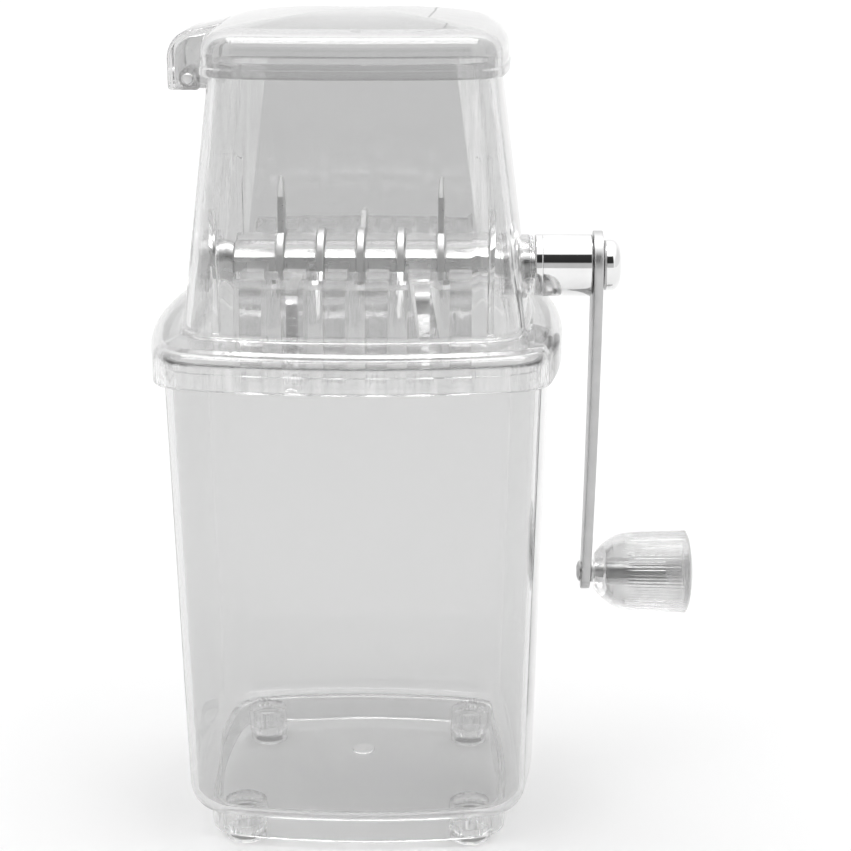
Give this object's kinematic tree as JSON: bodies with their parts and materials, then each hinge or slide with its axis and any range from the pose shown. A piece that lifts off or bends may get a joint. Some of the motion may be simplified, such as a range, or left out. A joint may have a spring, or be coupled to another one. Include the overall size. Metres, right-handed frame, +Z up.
{
  "type": "hand-cranked ice crusher",
  "caption": "Clear plastic hand-cranked ice crusher: hinged lid over a blade rotor between combs, on a removable ice container, with a side crank and knob.",
  "frame": {"origin": "middle of the underside of the whole object's box, on the surface it stands on", "axes": "+Z up through the lid, -Y out of the front wall, +X out of the crank side"},
  "size_m": [0.166, 0.1172, 0.2504],
  "materials": {
    "clear_plastic": "polished transparent styrene-type plastic",
    "clear_foot": "soft translucent plastic",
    "steel": "ground stainless steel",
    "satin_steel": "satin nickel-plated steel",
    "chrome_plate": "mirror chrome plating"
  },
  "bodies": {
    "container": {"ice_container": "clear_plastic", "foot_front_left": "clear_foot", "foot_front_right": "clear_foot", "foot_rear_left": "clear_foot", "foot_rear_right": "clear_foot"},
    "housing": {"crusher_housing": "clear_plastic", "front_comb": "clear_plastic", "rear_comb": "clear_plastic", "left_bushing": "clear_plastic", "right_bushing": "clear_plastic", "hinge_pin": "steel"},
    "lid": {"lid": "clear_plastic"},
    "crank": {"drive_shaft": "steel", "blade_1": "steel", "blade_2": "steel", "blade_3": "steel", "blade_4": "steel", "blade_5": "steel", "spacer_1": "clear_plastic", "spacer_2": "clear_plastic", "spacer_3": "clear_plastic", "spacer_4": "clear_plastic", "spacer_5": "clear_plastic", "spacer_6": "clear_plastic", "crank_sleeve": "chrome_plate", "crank_arm": "satin_steel", "cap_nut": "chrome_plate", "handle_axle": "steel", "handle_collar": "steel"},
    "handle": {"handle_knob": "clear_plastic", "handle_end_cap": "clear_plastic"}
  },
  "joints": [
    {"name": "housing_lift", "type": "slide", "parent": "container", "child": "housing", "axis": [0, 0, 1], "range_m": [0, 0.05]},
    {"name": "lid_hinge", "type": "hinge", "parent": "housing", "child": "lid", "pos_m": [-0.0698, 0, 0.231], "axis": [0, -1, 0], "range_deg": [0, 95]},
    {"name": "crank_turn", "type": "hinge", "parent": "housing", "child": "crank", "pos_m": [0.03, 0, 0.174], "axis": [1, 0, 0], "continuous": true},
    {"name": "handle_spin", "type": "hinge", "parent": "crank", "child": "handle", "pos_m": [0.06, 0, 0.0755], "axis": [1, 0, 0], "continuous": true}
  ]
}
